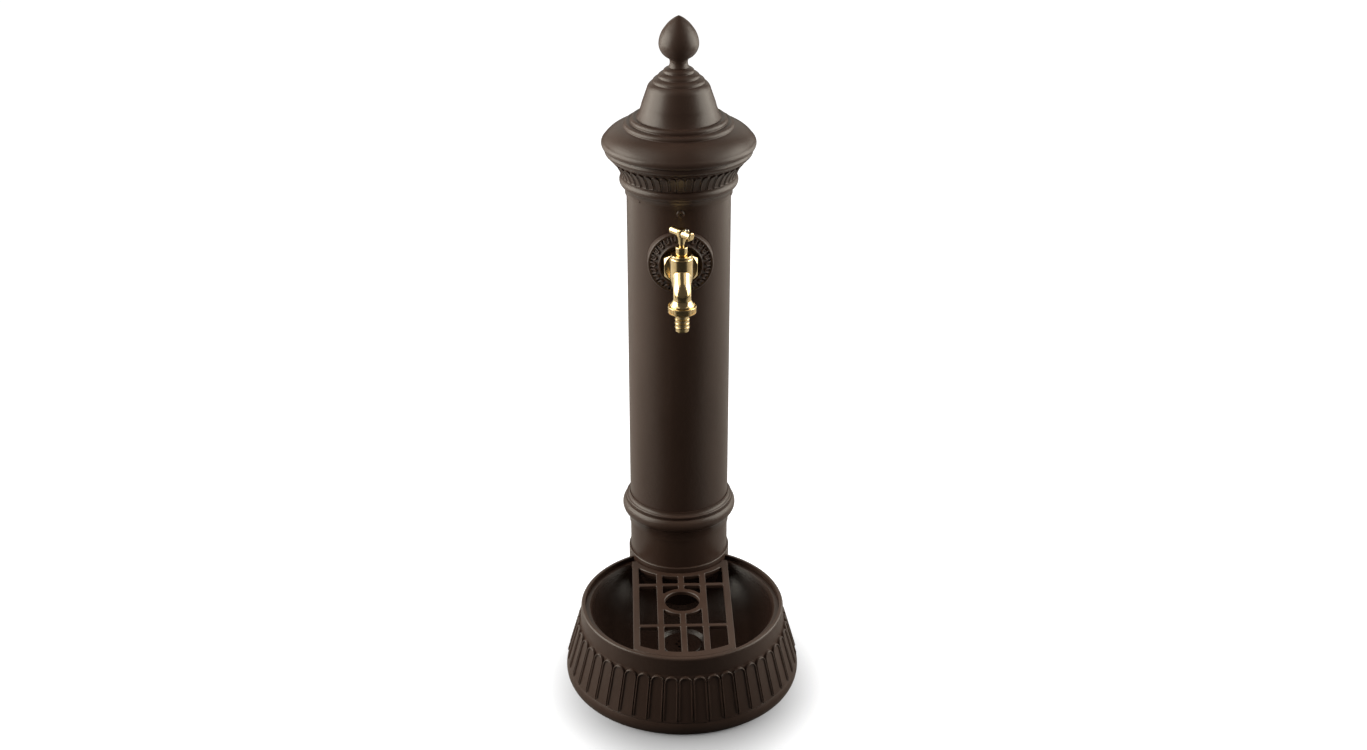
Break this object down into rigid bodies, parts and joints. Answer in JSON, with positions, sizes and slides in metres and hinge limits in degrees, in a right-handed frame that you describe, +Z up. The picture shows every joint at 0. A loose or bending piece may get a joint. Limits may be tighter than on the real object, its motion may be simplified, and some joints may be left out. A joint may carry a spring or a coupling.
{
  "type": "garden water fountain",
  "caption": "Free-standing garden water fountain: round column with roof and acorn finial, brass bib tap on a rosette, fluted drain basin with a lift-out grate.",
  "frame": {"origin": "on the ground, on the column's axis, at the centre of the anchor bolt circle", "axes": "+Z up along the column, -Y to the front where the tap and the basin are, +X to the part's right as seen from the front"},
  "size_m": [0.2708, 0.3415, 0.7468],
  "materials": {
    "brown_paint": "satin dark brown paint on cast metal",
    "polished_brass": "polished",
    "zinc_steel": "zinc plated",
    "black_rubber": "matt",
    "grey_plastic": "moulded"
  },
  "bodies": {
    "fountain": {"anchor_plate": "zinc_steel", "backing_saddle": "zinc_steel", "basin_bowl": "brown_paint", "basin_skirt": "brown_paint", "capital": "brown_paint", "capital_set_screws": "brown_paint", "column_top_screws": "brown_paint", "column_tube": "brown_paint", "drain_flange": "brown_paint", "drain_nut": "zinc_steel", "drain_strainer": "brown_paint", "drain_washer": "black_rubber", "finial": "brown_paint", "gland_nut": "polished_brass", "gland_packing": "black_rubber", "hose_nut": "polished_brass", "hose_tail": "polished_brass", "hose_washer": "black_rubber", "inlet_connector": "polished_brass", "joint_ring": "brown_paint", "joint_ring_screws": "brown_paint", "lower_column": "brown_paint", "lower_pipe_spacer": "grey_plastic", "pedestal": "brown_paint", "riser_bottom_nut": "polished_brass", "riser_pipe": "polished_brass", "riser_top_nut": "polished_brass", "roof": "brown_paint", "rosette": "brown_paint", "tap_body": "polished_brass", "tap_bonnet": "polished_brass", "tap_elbow": "polished_brass", "tap_lock_nut": "polished_brass", "tap_wall_nut": "polished_brass", "tap_wall_washer": "black_rubber", "tie_rod": "zinc_steel", "tie_rod_nut": "zinc_steel", "tie_rod_washer": "zinc_steel", "upper_pipe_spacer": "grey_plastic"},
    "grate": {"basin_grate": "brown_paint"},
    "jumper": {"jumper_valve": "polished_brass", "seat_washer": "black_rubber"},
    "spindle": {"tap_spindle": "polished_brass", "tap_handle": "polished_brass", "handle_screw": "zinc_steel"}
  },
  "joints": [
    {"name": "grate_lift", "type": "slide", "parent": "fountain", "child": "grate", "axis": [0, 0, 1], "range_m": [0, 0.04]},
    {"name": "valve_lift", "type": "slide", "parent": "fountain", "child": "jumper", "axis": [0, 0, 1], "range_m": [0, 0.0045]},
    {"name": "handle_turn", "type": "hinge", "parent": "jumper", "child": "spindle", "pos_m": [0, -0.097, 0.5], "axis": [0, 0, 1], "range_deg": [0, 810]}
  ],
  "couplings": [
    {"joint": "handle_turn", "follows": "valve_lift", "rad_per_m": 3141.6}
  ]
}
